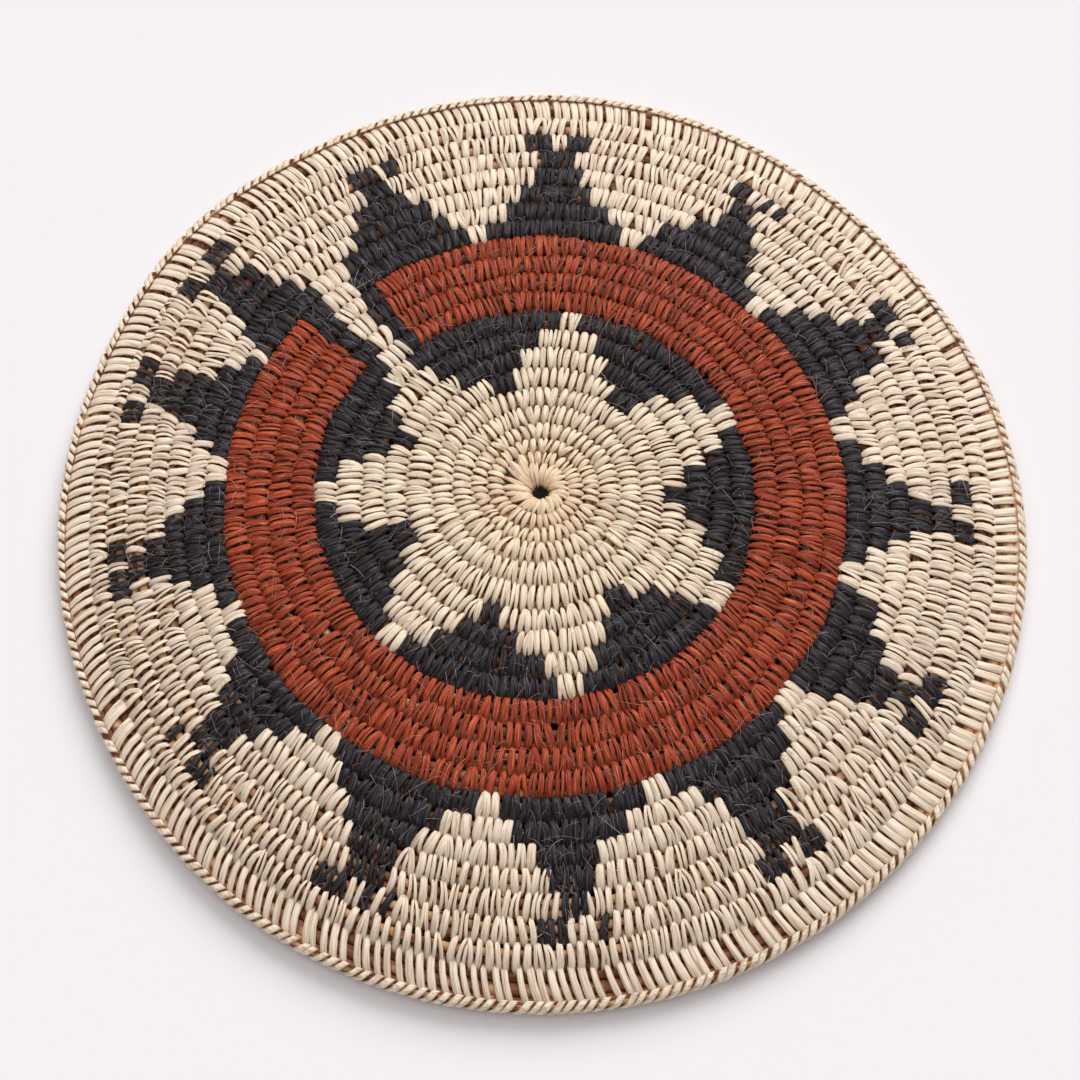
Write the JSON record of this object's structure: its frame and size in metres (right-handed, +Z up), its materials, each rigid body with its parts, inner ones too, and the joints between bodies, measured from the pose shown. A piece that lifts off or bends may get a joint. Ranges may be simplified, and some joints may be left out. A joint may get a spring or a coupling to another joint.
{
  "type": "ceremonial basket",
  "caption": "Shallow coiled ceremonial basket, domed side up, with a star, a red band cut by a pathway, stepped mountains and a braided rim.",
  "frame": {"origin": "middle of the basket's outline, on the plane that the rim's flat-cut underside rests on", "axes": "+Z up through the dome; +Y the basket's slightly longer way, away from the viewer; the pathway runs out at 134 degrees from +X towards +Y"},
  "size_m": [0.34, 0.3544, 0.0285],
  "materials": {
    "white_splint": "split sumac, pale cream, matt",
    "black_splint": "split sumac, dyed charcoal black, matt",
    "red_splint": "split sumac, dyed rust red, matt",
    "bare_rod": "peeled rod, brown, matt"
  },
  "bodies": {
    "root": {"inner_mound_1": "black_splint", "inner_mound_2": "black_splint", "inner_mound_3": "black_splint", "inner_mound_4": "black_splint", "inner_mound_5": "black_splint", "inner_mound_6": "black_splint", "inner_mound_7": "black_splint", "mountain_01": "black_splint", "mountain_02": "black_splint", "mountain_03": "black_splint", "mountain_04": "black_splint", "mountain_05": "black_splint", "mountain_06": "black_splint", "mountain_07": "black_splint", "mountain_08": "black_splint", "mountain_09": "black_splint", "mountain_10": "black_splint", "mountain_11": "black_splint", "mountain_12": "black_splint", "mountain_13": "black_splint", "outer_plain_turn": "white_splint", "pathway": "white_splint", "pathway_border_1": "black_splint", "pathway_border_2": "black_splint", "red_band": "red_splint", "rim_binding": "white_splint", "rim_braid": "white_splint", "rim_rod_1": "bare_rod", "rim_rod_2": "bare_rod", "rim_rod_3": "bare_rod", "star_centre": "white_splint", "star_tip_1": "white_splint", "star_tip_2": "white_splint", "star_tip_3": "white_splint", "star_tip_4": "white_splint", "star_tip_5": "white_splint", "star_tip_6": "white_splint", "start_ring": "white_splint", "white_wedge_01": "white_splint", "white_wedge_02": "white_splint", "white_wedge_03": "white_splint", "white_wedge_04": "white_splint", "white_wedge_05": "white_splint", "white_wedge_06": "white_splint", "white_wedge_07": "white_splint", "white_wedge_08": "white_splint", "white_wedge_09": "white_splint", "white_wedge_10": "white_splint", "white_wedge_11": "white_splint", "white_wedge_12": "white_splint"}
  },
  "joints": []
}
